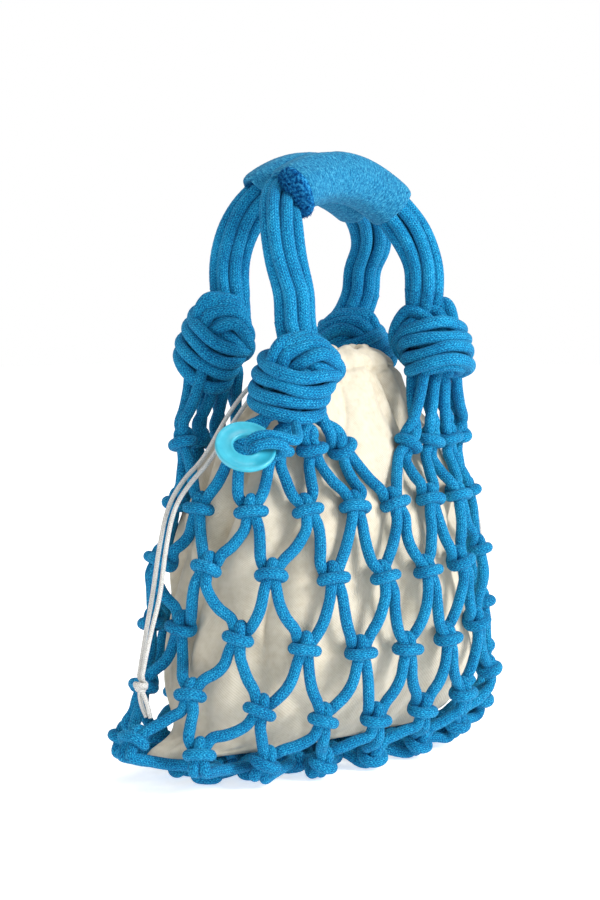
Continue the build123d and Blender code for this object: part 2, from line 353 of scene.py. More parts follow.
def row_knots(row):
    """Middles of a row's knots, counted from the middle of the front towards +X."""
    centres = solid_centres(f"net_knots_row_{row}")
    far_right = max(c[0] for c in centres)
    middle = (far_right + min(c[0] for c in centres)) / 2
    start = 0.05
    left, right = DRAWN_IN.get(row, (0, 0))
    for centre in centres:
        share = (centre[0] - middle) / (far_right - middle)
        centre[0] -= share * (right if share > 0 else left) * MM
    return sorted(centres, key=lambda c: (math.atan2(c[0] - middle, -c[1]) + start) % math.tau)


def gather_middle(name):
    low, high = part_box(f"gather_knot_{name}")
    height = low.z + GATHER_DEPTH - KNOT_SINK.get(name, 0)
    return np.array(((low.x + high.x) / 2, (low.y + high.y) / 2, height))


NET = [row_knots(row + 1) for row in range(ROWS)]
SEAM = sorted(solid_centres("base_seam_knots"), key=lambda c: c[0])
GATHER = {name: gather_middle(name) for name in GATHER_NAMES}
HINGES = {}
for joint in frame["joints"]:
    if joint["name"].endswith("handle_swing"):
        HINGES[joint["name"].split("_")[0]] = joint


def knot_place(row, index):
    """Middle of a net knot with its three directions: along the row, outward and up the net."""
    centre = NET[row][index]
    along = unit(NET[row][(index + 1) % COLUMNS] - NET[row][index - 1])
    if row == 0:
        outward = unit(np.cross(along, UP))
        above = GATHER[GATHER_NAMES[index // 4]] - centre - AIM_DROP * UP
        up = unit(0.75 * unit(above - outward * np.dot(above, outward)) + 0.55 * UP)
        return centre, np.cross(up, outward), outward, up
    shift = -1 if row % 2 else 0
    above = [NET[row - 1][(index + shift + step) % COLUMNS] for step in (0, 1)]
    up = unit((above[0] + above[1]) / 2 - centre)
    outward = unit(np.cross(along, up))
    return centre, along, outward, unit(np.cross(outward, along))


def in_place(points, place, mirror):
    """Points in millimetres along, outward and up a knot, put where the knot is."""
    centre, along, outward, up = place
    points = np.asarray(points, float) * MM
    points[:, 0] *= mirror
    return centre + points[:, :1] * along + points[:, 1:2] * outward + points[:, 2:] * up


def knot_path(row, index, left):
    """Way of the left or the right cord through a net knot."""
    wrap_is_left = (row * 5 + index * 3) % 4 < 2
    wraps = wrap_is_left == left
    path = WRAP_CORD if wraps else PLAIN_CORD
    mirror = 1 if wraps == left else -1
    scale = 0.94 + 0.12 * ((index * 7 + row * 3) % 5) / 4
    tilt = math.radians(((index * 11 + row * 7) % 9 - 4) * 2.5)
    points = np.array(path, float) * (scale, 1, 1)
    x, z = points[:, 0].copy(), points[:, 2].copy()
    points[:, 0] = x * math.cos(tilt) - z * math.sin(tilt) * mirror
    points[:, 2] = z * math.cos(tilt) + x * math.sin(tilt) * mirror
    if row == 0:
        points[:2] *= ((0.45, 1, 1.2), (0.8, 1, 1.05))
    return in_place(points, knot_place(row, index), mirror)


def leg_points(start, end, slack):
    """Two points of a stretch of cord between knots, which hangs down before it turns across."""
    run = end - start
    slack *= 0.17 * min(1.0, abs(run[2]) / (1 * MM + math.hypot(run[0], run[1])))
    drift = np.array([random.uniform(-1, 1) for _ in range(3)]) * MM
    early = run * (0.34 - slack, 0.34 - slack, 0.34)
    late = run * (0.68 - slack, 0.68 - slack, 0.70)
    return [start + early + drift, start + late + drift * 0.8]


# ---- bundle through a gathering knot
def gather_offsets(flatness, cord):
    """Where a cord lies in the bundle: across its width and its thickness."""
    angle = math.tau / 7 * (cord - 1)
    round_place = np.array((math.cos(angle), math.sin(angle))) * ROUND_PITCH * (cord > 0)
    flat_place = np.array((cord % 4 - 1.5, cord // 4 - 0.5)) * FLAT_PITCH
    return round_place * (1 - flatness) + flat_place * flatness


def turned(vector, tilt, roll):
    """A vector tilted about the across direction and then rolled about the outward one."""
    x, y, z = vector
    y, z = y * math.cos(tilt) - z * math.sin(tilt), y * math.sin(tilt) + z * math.cos(tilt)
    return np.array((x * math.cos(roll) + z * math.sin(roll), y, z * math.cos(roll) - x * math.sin(roll)))


def gather_cord(name, cord):
    """Points of one of the eight cords through a gathering knot, from its top to its bottom."""
    turn, tilt, roll, mirror, wide, tall = GATHER_LOOKS[name]
    turn, tilt, roll = math.radians(turn), math.radians(tilt), math.radians(roll)
    across_dir = np.array((math.cos(turn), math.sin(turn), 0))
    outward_dir = np.array((math.sin(turn), -math.cos(turn), 0))
    last = len(GATHER_LINE) - 1
    inside = [min(1, max(0, (i - 1) / 3), last - i) for i in range(last + 1)]
    middles = [turned(point, tilt * share, roll * share)
               for (point, _, _), share in zip(GATHER_LINE, inside)]
    tangents = np.gradient(np.array(middles), axis=0)
    drift = np.array((math.sin(cord * 2.3 + GATHER_NAMES.index(name)), math.cos(cord * 3.1)))
    result = []
    for i, (middle, tangent, (_, width, flatness)) in enumerate(zip(middles, tangents, GATHER_LINE)):
        share = inside[i]
        tangent = unit(tangent)
        width = turned(width, tilt * share, roll * share)
        width = unit(width - tangent * np.dot(width, tangent))
        depth = np.cross(tangent, width)
        across, thick = gather_offsets(flatness, cord) + drift * 1.1 * share * math.sin(i * 1.7 + cord)
        local = middle + width * across + depth * thick
        local *= 1 + (np.array((wide, wide, tall)) - 1) * share
        place = GATHER[name] + MM * (mirror * local[0] * across_dir - local[1] * outward_dir
                                     + local[2] * UP)
        place[0] += (LEG_SHARES[i] if i < len(LEG_SHARES) else 0) * LEG_SHIFT[name] * MM
        result.append(place)
    return result


def column_exit(name, column, side):
    """Where a net cord leaves the underside of its gathering knot."""
    corner = 4 * math.floor(column / 4) + 2
    across = -1 if "rear" in name else 1
    drop = EXIT_DROP - EXIT_RISE * abs(column - corner)
    offset = np.array(((column - corner) * EXIT_PITCH * across, side * EXIT_SIDE * across, -drop)) * MM
    return GATHER[name] + offset


def cord_number(column, side):
    """Which of the eight cords of a gathering knot goes down a column."""
    return math.floor(column) % 4 + (0 if side < 0 else 4)


# ---- handles
def handle_points(side):
    """Control points of a handle's centreline, from one hinge to the other."""
    roots = [GATHER[f"{side}_{end}"] + np.array((LEG_SHIFT[f"{side}_{end}"], 0, LEG_ROOT_RISE)) * MM
             for end in ("left", "right")]
    inner = [np.array((x, OUTWARD[side] * out, z)) * MM for x, out, z in HANDLE_RISE[side]]
    return [roots[0]] + inner + [roots[1]]


def handle_line(side, spacing):
    return smooth_line(handle_points(side), spacing, relax=20)[0]


def handle_frame(line):
    """Tangent, sideways and upper directions along a handle."""
    tangents = tangents_of(line)
    upper = np.cross(tangents, (0, 1.0, 0))
    upper /= np.linalg.norm(upper, axis=1)[:, None]
    return tangents, np.cross(upper, tangents), upper


def bundle_place(slot, share):
    """Where a cord stands in the handle's bundle of one cord inside seven: sideways and upward."""
    if slot == 7:
        return np.zeros(2)
    angle = math.tau / 7 * slot + BUNDLE_TWIST * share
    return np.array((math.cos(angle), math.sin(angle)))


def leg_spread(share, low, high):
    """How far the bundle is spread: a little loose in the legs, tight under the grip."""
    if low <= share <= high:
        return 0.95
    reach = share / low if share < low else (1 - share) / (1 - high)
    return 0.95 + 0.08 * math.sin(math.pi * reach)


def handle_cord(side, slot, samples=26):
    """Points of one cord over a handle, between its two gathering knots."""
    line = handle_line(side, FRAME_STEP)
    _, sideways, upper = handle_frame(line)
    low, high = GRIP_SPAN[side]
    points = []
    for pick in np.linspace(0, len(line) - 1, samples)[3:-3]:
        i = int(round(pick))
        share = pick / (len(line) - 1)
        across, above = bundle_place(slot, share) * BUNDLE_RADIUS * leg_spread(share, low, high)
        wobble = 1.1 * MM * math.sin(5 * share * math.pi + slot * 1.7) * (not low < share < high)
        beside_pad = math.exp(-((share - low) / PAD_REACH) ** 2) * PAD_SHARE[side]
        across *= 1 - PAD_SQUEEZE * beside_pad
        points.append(line[i] + (across + wobble) * sideways[i] + above * upper[i]
                      - np.array((0, OUTWARD[side] * PAD_PUSH * beside_pad, 0)))
    return points


def slots_of(side, end):
    """Which place in the handle's bundle each cord of a gathering knot goes to, with least crossing."""
    line = handle_line(side, FRAME_STEP)
    _, sideways, upper = handle_frame(line)
    i, share = (4, 0) if end == "left" else (len(line) - 5, 1)
    places = []
    for slot in range(8):
        across, above = bundle_place(slot, share) * BUNDLE_RADIUS
        places.append(across * sideways[i] + above * upper[i])
    tops = np.array([gather_cord(f"{side}_{end}", cord)[0] for cord in range(8)])
    tops -= tops.mean(axis=0)

    def gap(slots):
        return sum(np.linalg.norm((tops[cord] - places[slot])[:2]) for cord, slot in slots.items())

    choices = [{cord: (first + way * (cord - 1)) % 7 for cord in range(1, 8)}
               for first in range(7) for way in (1, -1)]
    return {**min(choices, key=gap), 0: 7}


# ---- all long cords
def build_net():
    """Tubes of every piece that the long cords make: net columns, knots and gathering knots."""
    pieces = defaultdict(Tubes)
    for column_index in range(COLUMNS):
        column = column_index + 0.5
        node = f"net_cords_column_{column_index + 1:02d}"
        corner = GATHER_NAMES[math.floor(column / 4)]
        for side in (-1, 1):
            points, marks = [], []

            def stretch(label, more):
                marks.append((len(points), label))
                points.extend(more)

            stretch(f"gather_knot_{corner}", gather_cord(corner, cord_number(column, side))[1:])
            leave = column_exit(corner, column, side)
            stretch(node, [leave])
            for row in range(ROWS):
                index = column_index if row % 2 == 0 else (column_index + (side > 0)) % COLUMNS
                left = (side < 0) if row % 2 == 0 else (side > 0)
                path = list(knot_path(row, index, left))
                points.extend(leg_points(points[-1], path[0], 1 if row > 1 else 0.4))
                stretch(f"net_knots_row_{row + 1}", path)
                stretch(node, [])
            wrapped = (column + side / 2 + COLUMNS / 2) % COLUMNS - COLUMNS / 2
            if abs(wrapped) > 4:
                wrapped = math.copysign(8, wrapped) - wrapped
            seam = SEAM[int(round(wrapped)) + 4]
            front = -1 if NET[ROWS - 1][column_index][1] < 0 else 1
            across = math.copysign(1, NET[ROWS - 1][column_index][0] - seam[0])
            hand = np.array((across, front, 1)) * MM
            points.append(seam + hand * SEAM_ENTRY)
            stretch("base_seam_knots", [seam + hand * step for step in SEAM_CORD])
            line, places = smooth_line(points, CORD_STEP)
            over = np.logaddexp(0, (line[:, 2] / FLOOR_REST - 1) / FLOOR_SOFTNESS)
            line[:, 2] = FLOOR_REST * (1 + FLOOR_SOFTNESS * over)
            lengths = np.arange(len(line)) * CORD_STEP
            cuts = [int(np.searchsorted(places, mark)) for mark, _ in marks] + [len(line) - 1]
            radii = np.full(len(line), NET_CORD_RADIUS)
            for (start, end), (_, label) in zip(zip(cuts, cuts[1:]), marks):
                if "knot" in label:
                    radii[start:end + 1] = CORD_RADIUS if "gather" in label else KNOT_CORD_RADIUS
            radii = np.convolve(np.pad(radii, 4, "edge"), np.ones(9) / 9, "valid")
            rings = braided_rings(line, radii, CORD_SIDES)
            for (start, end), (_, label) in zip(zip(cuts, cuts[1:]), marks):
                if end > start:
                    pieces[label].add_rings(rings[start:end + 1], lengths[start:end + 1],
                                            start == 0, end == len(line) - 1)
    return pieces


def build_handle(side):
    """Eight cords from one gathering knot over the handle and down to the other."""
    tubes = Tubes()
    left_slots, right_slots = slots_of(side, "left"), slots_of(side, "right")
    right_cords = {slot: cord for cord, slot in right_slots.items()}
    for left_cord, slot in left_slots.items():
        left = gather_cord(f"{side}_left", left_cord)[:3]
        right = gather_cord(f"{side}_right", right_cords[slot])[:3]
        line, _ = smooth_line(left[::-1] + handle_cord(side, slot) + right, CORD_STEP, relax=60)
        tubes.add_rings(braided_rings(line, CORD_RADIUS, CORD_SIDES), np.arange(len(line)) * CORD_STEP,
                        True, True)
    return tubes


# ---- materials
class Value:
    """A socket of a node tree that can be reckoned with."""

    def __init__(self, tree, socket):
        self.tree, self.socket = tree, socket

    def maths(self, operation, other=None):
        node = self.tree.nodes.new("ShaderNodeMath")
        node.operation = operation
        for socket, value in zip(node.inputs, (self, other)):
            if isinstance(value, Value):
                self.tree.links.new(value.socket, socket)
            elif value is not None:
                socket.default_value = value
        return Value(self.tree, node.outputs[0])

    def __add__(self, other):
        return self.maths("ADD", other)

    def __sub__(self, other):
        return self.maths("SUBTRACT", other)

    def __mul__(self, other):
        return self.maths("MULTIPLY", other)


class Paint:
    """A material in the making."""

    def __init__(self, name):
        self.material = bpy.data.materials.new(name)
        self.material.use_nodes = True
        self.tree = self.material.node_tree
        self.shader = self.tree.nodes["Principled BSDF"]

    def node(self, kind, vector, **inputs):
        """A new node that reads a vector, with constants on its other inputs."""
        node = self.tree.nodes.new(kind)
        for name, value in inputs.items():
            node.inputs[name].default_value = value
        self.tree.links.new(vector, node.inputs["Vector"])
        return node

    def uv(self):
        reader = self.tree.nodes.new("ShaderNodeUVMap")
        reader.uv_map = "UVMap"
        return reader.outputs[0]

    def along_and_round(self):
        """How far along and how far round a piece a point is."""
        split = self.node("ShaderNodeSeparateXYZ", self.uv())
        return [Value(self.tree, socket) for socket in split.outputs[:2]]

    def noise(self, scale, detail=2, distortion=0, vector=None):
        """Noise in the object's own space, or over another vector."""
        if vector is None:
            vector = self.tree.nodes.new("ShaderNodeTexCoord").outputs["Object"]
        node = self.node("ShaderNodeTexNoise", vector, Scale=scale, Detail=detail, Distortion=distortion)
        return Value(self.tree, node.outputs[0])

    def colour(self, tone, stops):
        ramp = self.tree.nodes.new("ShaderNodeValToRGB")
        while len(ramp.color_ramp.elements) < len(stops):
            ramp.color_ramp.elements.new(0.5)
        for element, (place, colour) in zip(ramp.color_ramp.elements, stops):
            element.position = place
            element.color = (*colour, 1)
        self.tree.links.new(tone.socket, ramp.inputs[0])
        self.tree.links.new(ramp.outputs[0], self.shader.inputs["Base Color"])

    def relief(self, height, strength, depth):
        bump = self.tree.nodes.new("ShaderNodeBump")
        bump.inputs["Strength"].default_value = strength
        bump.inputs["Distance"].default_value = depth
        self.tree.links.new(height.socket, bump.inputs["Height"])
        self.tree.links.new(bump.outputs[0], self.shader.inputs["Normal"])

    def surface(self, **inputs):
        """Set the shader's own inputs, spelt with underlines, and hand over the material."""
        for name, value in inputs.items():
            self.shader.inputs[name.replace("_", " ")].default_value = value
        return self.material


def braid_material(name, stops, columns, stitch, mottle, tint):
    """Braided cotton: columns of small V-shaped stitches, with fine threads and mottled dye, and painted
    shade darkening the grooves between stitches and the column edges.
    """
    paint = Paint(name)
    length, turn = paint.along_and_round()
    grain, patches = paint.noise(mottle, 3), paint.noise(60)
    around = turn * columns
    phase = length * (1 / stitch) + around.maths("PINGPONG", 1) + grain * 0.5
    stitches = (phase * math.pi).maths("SINE").maths("ABSOLUTE")
    edges = (around * math.pi).maths("SINE").maths("ABSOLUTE").maths("POWER", 0.5)
    stitch_shade_and_relief = stitches * edges
    # Colour: the stitch pattern paints shade into the grooves between stitches and along the column edges;
    # grain and patches are the dye's own uneven tone.
    paint.colour(stitch_shade_and_relief * 0.34 + grain * 0.9 + patches * 0.25 - 0.3, stops)
    paint.relief(stitch_shade_and_relief + grain * 0.8, 0.55, 0.6 * MM)
    return paint.surface(Roughness=0.9, Specular_IOR_Level=0.15, Sheen_Weight=0.08,
                         Sheen_Roughness=0.5, Sheen_Tint=(*tint, 1))


# The blue and the white braid ramps run from painted shade in the stitch grooves to a partly painted
# highlight on the stitch tops.
BLUE_STOPS = [(0.25, (0.001, 0.07, 0.21)), (0.45, (0.004, 0.20, 0.42)), (0.62, (0.013, 0.32, 0.58)),
              (0.85, (0.10, 0.54, 0.82))]
YARN_STOPS = [(0.25, (0.002, 0.08, 0.21)), (0.45, (0.010, 0.16, 0.33)), (0.62, (0.02, 0.23, 0.42)),
              (0.85, (0.07, 0.37, 0.56))]
WHITE_STOPS = [(0.2, (0.42, 0.42, 0.40)), (0.5, (0.74, 0.73, 0.69)), (0.8, (0.92, 0.90, 0.86))]
BLUE_TINT = (0.3, 0.7, 1.0)
WHITE_TINT = (1.0, 1.0, 1.0)
BLUE_CORD = braid_material("blue braided cord", BLUE_STOPS, STITCH_COLUMNS, STITCH_LENGTH, 1000,
                           BLUE_TINT)
TIE_CORD = braid_material("thin blue cord", BLUE_STOPS, 12, 1.6 * MM, 1000, BLUE_TINT)
WHITE_STRING = braid_material("drawstring braid", WHITE_STOPS, 8, 1.4 * MM, 1600, WHITE_TINT)


def dress(piece, material, node, body=None):
    """Give a piece its material, hide the CAD node that it stands for, and hang it on the body that it
    rides on.
    """
    piece.data.materials.clear()
    piece.data.materials.append(material)
    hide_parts(node)
    if body:
        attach(piece, body)
    return piece


# ---- cords of the net and handles
def make_net():
    for node, tubes in build_net().items():
        dress(tubes.build(f"{node}_braid"), BLUE_CORD, node, "net")


def make_handle_cords(side):
    piece = build_handle(side).build(f"{side}_handle_cords_braid")
    dress(piece, BLUE_CORD, f"{side}_handle_cords")
    joint = HINGES[side]
    middle = Vector(joint["pos_m"])
    axis = Vector(joint["axis"]).normalized()
    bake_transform(piece)


# ---- grips
def yarn_material():
    """Fine yarn wound round the grip: long flecks that run round it, a little crossed."""
    paint = Paint("wound yarn")
    tone = paint.noise(900, 3)
    for slant, seed in ((0.10, 0), (-0.16, 5)):
        stretch = paint.node("ShaderNodeMapping", paint.uv(), Location=(seed, 0, 0),
                             Rotation=(0, 0, slant), Scale=(1600, 30, 1))
        tone += paint.noise(1, 3, 0.4, stretch.outputs[0])
    tone = (tone - 1.5) * 0.95 + 0.52
    paint.colour(tone, YARN_STOPS)
    paint.relief(tone, 0.7, 0.6 * MM)
    return paint.surface(Roughness=0.9, Specular_IOR_Level=0.15, Sheen_Weight=0.15,
                         Sheen_Tint=(*BLUE_TINT, 1))


def fibre_material():
    paint = Paint("cut fibre")
    paint.colour(paint.noise(600, 4), [(0.38, (0.001, 0.04, 0.16)), (0.5, (0.004, 0.13, 0.36)),
                                       (0.62, (0.03, 0.30, 0.58))])
    return paint.surface(Roughness=1.0, Specular_IOR_Level=0.1)


YARN = yarn_material()
CUT_FIBRE = fibre_material()


def grip_line(side, spacing):
    line = handle_line(side, spacing)
    low, high = GRIP_SPAN[side]
    count = len(line) - 1
    return line[int(low * count):int(high * count) + 1]


def make_grip(side):
    """Fine yarn wound over the handle's cords, with rolled ends and an overlap part way along."""
    line = grip_line(side, GRIP_STEP)
    tangents, sideways, upper = handle_frame(line)
    steps = len(line)
    share = np.linspace(0, 1, steps)[:, None]
    lengths = np.arange(steps) * GRIP_STEP
    turns = turns_of(GRIP_SIDES)
    rounding = np.clip(1 - np.minimum(share, 1 - share) / 0.06, 0, 1)
    body = GRIP_RADIUS * (0.86 + 0.14 * np.sqrt(1 - rounding ** 2)) * (1 + 0.02 * np.sin(share * 6))
    overlap = 0.7 * MM / (1 + np.exp(-(share - 0.46 - 0.012 * np.sin(turns + 0.6)) * 110))
    slant = 0.9 * np.sin(turns + 1) + 0.35 * np.sin(2 * turns + lengths[:, None] * 160)
    lay = lengths[:, None] / YARN_PITCH + slant + turns / math.tau
    threads = 0.24 * MM * np.abs(np.sin(math.pi * lay)) ** 0.8
    cords = 0.30 * MM * np.cos(7 * turns - 7 * BUNDLE_TWIST * share)
    rng = np.random.default_rng(11)
    rough = rng.normal(0, 0.05 * MM, (steps, GRIP_SIDES))
    rings = rings_round(line, body + overlap + threads + cords + rough, turns, sideways, upper)
    lips = [line[end] + (rings[end] - line[end]) * 0.82 + way * 3 * MM * tangents[end]
            for end, way in ((0, 1), (-1, -1))]
    rings = np.concatenate([lips[0][None], rings, lips[1][None]])
    tubes = Tubes()
    tubes.add_rings(rings, np.concatenate([lengths[:1], lengths, lengths[-1:]]))
    piece = tubes.build(f"{side}_grip_yarn")
    dress(piece, YARN, f"{side}_grip_wrap", f"{side}_handle")


def make_padding(side):
    """Cut end of the fibre padding, a brush of short fibres at the grip's left end."""
    line = grip_line(side, 1.0 * MM)
    tangents, _, upper = handle_frame(line)
    outward = np.array((0, OUTWARD[side], 0))
    size, aside = (1.0, 6.0) if side == "front" else (0.65, 0.5)
    centre = line[0] + MM * (1.5 * tangents[0] + aside * outward - 0.5 * upper[0])
    axes = (-8.0 * size * MM * tangents[0], 12.5 * size * MM * outward, 16.5 * size * MM * upper[0])
    rng = np.random.default_rng(3 if side == "front" else 4)

    def place(polar, turn, scale=1.0):
        return centre + scale * (math.cos(polar) ** 0.7 * axes[0] + math.sin(polar)
                                 * (math.cos(turn) * axes[1] + math.sin(turn) * axes[2]))

    steps, sides = 16, 44
    rings = []
    for polar in np.linspace(math.pi / 2, 0.03, steps):
        rings.append([place(polar, turn, 1 + 0.05 * noise.noise(Vector(
            (3 * math.cos(turn), 3 * math.sin(turn), 5 * polar)))) for turn in turns_of(sides)])
    tubes = Tubes()
    tubes.add_rings(np.array(rings)[:, ::-1], np.arange(steps) * MM)
    for _ in range(FIBRES):
        polar, turn = math.acos(rng.uniform(0.02, 1)), rng.uniform(0, math.tau)
        root = place(polar, turn, 0.95)
        lean = unit(root - centre) * 0.8 - tangents[0] * 0.7 + rng.normal(0, 0.35, 3)
        add_fibre(tubes, root, root + unit(lean) * rng.uniform(1.0, 2.4) * MM, 0.17 * MM)
    piece = tubes.build(f"{side}_grip_fibre_end")
    dress(piece, CUT_FIBRE, f"{side}_grip_padding", f"{side}_handle")


def add_fibre(tubes, root, tip, radius):
    """A thin three-sided fibre that narrows to its tip."""
    along = unit(tip - root)
    first = unit(np.cross(along, (0.3, 0.5, 0.81)))
    second = np.cross(along, first)
    turns = turns_of(3)[:, None]
    circle = np.cos(turns) * first + np.sin(turns) * second
    tubes.add_rings(np.stack([root + circle * radius, tip + circle * radius * 0.25]), np.array((0, 1 * MM)))


# ---- pouch
THREAD_PITCH = 0.8 * MM
CANVAS_STOPS = [(0.25, (0.60, 0.515, 0.37)), (0.5, (0.71, 0.635, 0.495)), (0.8, (0.78, 0.71, 0.58))]


def canvas_material():
    """Plain-weave cotton canvas."""
    paint = Paint("cotton canvas")
    warp, weft = [(way * (math.pi / THREAD_PITCH)).maths("SINE") for way in paint.along_and_round()]
    weave, slub = warp * weft, paint.noise(260, 4)
    paint.colour(weave * 0.10 + slub * 0.6 + paint.noise(18) * 0.4, CANVAS_STOPS)
    paint.relief(weave + slub * 1.2, 0.35, 0.4 * MM)
    return paint.surface(Roughness=0.92, Specular_IOR_Level=0.2, Sheen_Weight=0.25)


# Half width, half depth, height and middle x of the pouch's sections, from the bottom up
POUCH_SECTIONS = [(108, 31, 17.5, 8), (119, 43, 36, 15), (120, 54, 62, 15), (109, 56, 100, 14),
                  (101, 53, 140, 12), (93, 44.5, 172, 14), (85, 33, 198, 17), (68, 25, 219, 19),
                  (57, 21.5, 237, 20), (51, 19.5, 248, 21), (43, 16.5, 256, 21), (31, 12, 260, 20)]
PLAN_EXPONENT = 2.5
POUCH_SIDES = 200
POUCH_RINGS = 104
MOUTH_HEIGHT = 260
HEM_DEPTH = 9
MOUTH_TAPER = 26
CHANNEL_HEIGHT = 248
CLOTH_PRESSURE = 3.0
CLOTH_GROWTH = 0.035
CLOTH_CAP = 7 * MM
CLOTH_FRAMES = 20
CLOTH_WIDTH = 0.56


def smooth_key(place, values):
    """Value between the pouch's sections, eased so that the side has no corners."""
    low = int(min(len(values) - 2, max(0, math.floor(place))))
    t = place - low
    before, after = values[max(0, low - 1)], values[min(len(values) - 1, low + 2)]
    start, end = values[low], values[low + 1]
    return start + t * 0.5 * (end - before + t * (2 * before - 5 * start + 4 * end - after
                                                  + t * (3 * (start - end) + after - before)))


def fold_wave(turn, rise):
    """Soft vertical folds, with sharp valleys and round ridges, from -1 to 1."""
    lean = (0.8 + 0.9 * rise) * math.sin(2.3 * math.pi * rise + 1.3 * math.sin(turn))
    lean += 0.6 * math.sin(2 * turn + 0.8)
    broad = 2 * abs(math.sin(4.5 * turn + lean + 0.4)) ** 0.7 - 1
    fine = math.sin(17 * turn + 2.5 * math.sin(2 * turn + 3 * rise) + 1.1)
    return 0.8 * broad + 0.3 * fine


def pouch_point(turn, place):
    """A point of the pouch's cloth, folded towards its gathered mouth, in millimetres."""
    half_width, half_depth, height, middle = [
        smooth_key(place, [section[i] for section in POUCH_SECTIONS]) for i in range(4)]
    c, s = math.cos(turn), math.sin(turn)
    reach = (abs(c) ** PLAN_EXPONENT + abs(s) ** PLAN_EXPONENT) ** (-1 / PLAN_EXPONENT)
    rise = min(1.0, max(0.0, (height - 20) / (MOUTH_HEIGHT - 20)))
    depth = 3.0 + 7.4 * rise ** 1.2 * (1 - 0.35 * rise)
    pucker = max(0.0, rise - 0.72) / 0.28
    gathers = pucker * (2.6 * math.sin(26 * turn + 1.5 * math.sin(5 * turn))
                        + 2.2 * math.sin(17 * turn + 2 * math.sin(3 * turn)))
    crumple = 3.2 * noise.noise(Vector((2.2 * c + 5, 2.2 * s, height * 0.016))) * (1 - 0.7 * rise)
    seam = 1.0 * math.exp(-(s / 0.03) ** 2)
    groove = 2.6 * math.exp(-((height - CHANNEL_HEIGHT) / 3.5) ** 2)
    out = depth * fold_wave(turn, rise) - depth * 0.7 + gathers + crumple + seam - groove
    corner = max(0.0, 1 - height / 62) * max(0.0, c) ** 10
    flap = math.exp(-(max(0.0, height - 18) / 12) ** 2) * max(0.0, -c) ** 12
    x = half_width * reach * c * (1 + out / 60) + 9 * corner - 37 * flap
    y = half_depth * reach * s * (1 + out / 60) * (1 - 0.55 * corner) * (1 - 0.3 * flap)
    sag = 1.5 * math.sin(3 * turn + 1) * (1 - rise) + 1.6 * pucker * math.sin(9 * turn + 2)
    return np.array((x + middle, y, height + sag * min(1.0, height / 60)))


def pouch_rings():
    """Rings of points from the middle of the pouch's base up its side and into its mouth."""
    turns = turns_of(POUCH_SIDES)
    last = len(POUCH_SECTIONS) - 1
    side = np.array([[pouch_point(turn, place) for turn in turns]
                     for place in np.linspace(0, last, POUCH_RINGS)])
    base, mouth = side[0], side[-1]
    floor_rings = [base.mean(axis=0) + (base - base.mean(axis=0)) * (scale, scale, 1) - drop * UP
                   for scale, drop in ((0.05, 4.5), (0.35, 4.4), (0.65, 4), (0.85, 3), (0.96, 1.6))]
    middle = mouth.mean(axis=0)
    tucked = [middle + (mouth - middle) * (wide, deep, 1) + rise * UP
              for wide, deep, rise in ((0.97, 0.90, 1.4), (0.92, 0.66, 1.6), (0.86, 0.38, 0),
                                       (0.80, 0.16, -4), (0.76, 0.10, -9), (0.05, 0.05, -10))]
    return np.concatenate([floor_rings, side, tucked]) * MM


def evaluated(piece):
    return piece.evaluated_get(bpy.context.evaluated_depsgraph_get())


def settle(piece, held, caps):
    """Let the cloth billow and buckle for some frames, no point moving further than its cap."""
    group = piece.vertex_groups.new(name="held")
    group.add([int(i) for i in held], 1.0, "REPLACE")
    cloth = piece.modifiers.new("cloth", "CLOTH")
    settings = cloth.settings
    settings.quality = 5
    settings.mass = 0.2
    settings.tension_stiffness = 20
    settings.compression_stiffness = 20
    settings.shear_stiffness = 8
    settings.bending_stiffness = 0.4
    settings.use_pressure = True
    settings.uniform_pressure_force = CLOTH_PRESSURE
    settings.shrink_min = -CLOTH_GROWTH
    settings.vertex_group_mass = "held"
    settings.effector_weights.gravity = 0
    scene = bpy.context.scene
    for number in range(1, CLOTH_FRAMES + 1):
        scene.frame_set(number)
    start = np.array([vertex.co for vertex in piece.data.vertices])
    end = np.array([vertex.co for vertex in evaluated(piece).data.vertices])
    step = end - start
    length = np.linalg.norm(step, axis=1)[:, None]
    end = start + step * np.minimum(1, caps[:, None] / np.maximum(length, 1e-9))
    piece.modifiers.remove(cloth)
    scene.frame_set(1)
    piece.data.vertices.foreach_set("co", end.astype(np.float32).ravel())
    piece.data.update()


def subdivided(piece):
    """Replace a piece's mesh by its subdivision surface."""
    levels = piece.modifiers.new("smooth", "SUBSURF")
    levels.levels = levels.render_levels = 1
    bpy.context.view_layer.update()
    finer = bpy.data.meshes.new_from_object(evaluated(piece))
    piece.modifiers.remove(levels)
    piece.data = finer


def make_pouch():
    rings = pouch_rings()
    tubes = Tubes()
    tubes.add_rings(rings, distances(rings[:, 0]))
    tubes.uvs = [uv * (1, CLOTH_WIDTH) for uv in tubes.uvs]
    piece = tubes.build("pouch_cloth")
    heights = rings[:, :, 2].mean(axis=1)
    hem = np.nonzero(heights > (MOUTH_HEIGHT - HEM_DEPTH) * MM)[0].min()
    held = np.concatenate([np.arange(6 * POUCH_SIDES),
                           np.arange(hem * POUCH_SIDES, len(rings) * POUCH_SIDES)])
    near_mouth = np.clip((hem - np.arange(len(rings))) / MOUTH_TAPER, 0, 1)
    settle(piece, held, np.repeat(CLOTH_CAP * near_mouth, POUCH_SIDES))
    subdivided(piece)
    dress(piece, canvas_material(), "drawstring_pouch", "net")


# ---- drawstrings
def route_line(points, spacing):
    """Evenly spaced points on the smooth curve that a route's points control."""
    curve = bpy.data.curves.new("route", "CURVE")
    curve.dimensions = "3D"
    spline = curve.splines.new("NURBS")
    spline.points.add(len(points) - 1)
    for target, point in zip(spline.points, points):
        target.co = (*(Vector(point) * MM), 1)
    spline.order_u = 3
    spline.use_endpoint_u = True
    spline.resolution_u = 24
    helper = bpy.data.objects.new("route", curve)
    bpy.context.scene.collection.objects.link(helper)
    bpy.context.view_layer.update()
    mesh = bpy.data.meshes.new_from_object(helper)
    line = np.array([vertex.co for vertex in mesh.vertices])
    bpy.data.objects.remove(helper)
    lengths = distances(line)
    return resampled(line, lengths, np.arange(0, lengths[-1], spacing)), lengths[-1]


